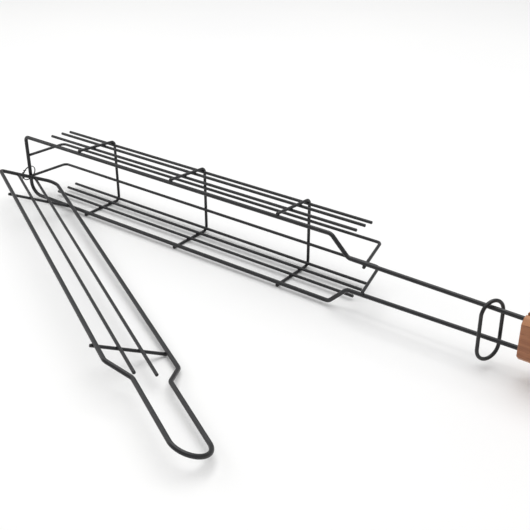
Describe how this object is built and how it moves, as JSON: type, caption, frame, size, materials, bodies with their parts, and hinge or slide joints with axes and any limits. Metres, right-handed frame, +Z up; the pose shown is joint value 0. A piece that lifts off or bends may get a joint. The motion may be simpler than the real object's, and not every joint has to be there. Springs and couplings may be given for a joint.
{
  "type": "grill basket",
  "caption": "Long wire grill basket on its side, with a swinging lid, a sliding oval lock ring and a bevelled wooden grip.",
  "frame": {"origin": "on the table, under the middle of the whole object's box with the lid open as stored", "axes": "+X along the basket toward the handle, +Y from the open side to the basket's back, +Z up"},
  "size_m": [0.6226, 0.2463, 0.0627],
  "materials": {
    "frame_steel": "black satin non-stick coating",
    "rod_steel": "black satin non-stick coating",
    "lock_ring_steel": "black satin non-stick coating, rubbed where it slides",
    "hinge_ring_steel": "dark satin",
    "grip_wood": "brown stained, satin"
  },
  "bodies": {
    "basket": {"basket_frame": "frame_steel", "hoop_1": "rod_steel", "hoop_2": "rod_steel", "hoop_3": "rod_steel", "upper_rod_1": "rod_steel", "upper_rod_2": "rod_steel", "upper_rod_3": "rod_steel", "lower_rod_1": "rod_steel", "lower_rod_2": "rod_steel", "lower_rod_3": "rod_steel", "back_wire_upper": "rod_steel", "back_wire_lower": "rod_steel", "wooden_grip": "grip_wood"},
    "lid": {"lid_frame": "frame_steel", "lid_rod_left": "rod_steel", "lid_rod_right": "rod_steel", "lid_bar_hinge": "rod_steel", "lid_bar_tongue": "rod_steel"},
    "hinge_ring": {"hinge_ring": "hinge_ring_steel"},
    "lock_ring": {"lock_ring": "lock_ring_steel"}
  },
  "joints": [
    {"name": "lid_hinge", "type": "hinge", "parent": "basket", "child": "lid", "pos_m": [-0.30228, 0.08778, 0.029], "axis": [-0.9083, 0.213, 0.36], "range_deg": [0, 70]},
    {"name": "hinge_ring_turn", "type": "hinge", "parent": "basket", "child": "hinge_ring", "pos_m": [-0.30228, 0.08778, 0.029], "axis": [-0.9083, 0.213, 0.36], "range_deg": [0, 49]},
    {"name": "lock_ring_slide", "type": "slide", "parent": "basket", "child": "lock_ring", "axis": [-0.9996, -0.0267, 0.0133], "range_m": [-0.014, 0.06]}
  ],
  "couplings": [
    {"joint": "hinge_ring_turn", "follows": "lid_hinge", "ratio": 0.7}
  ]
}
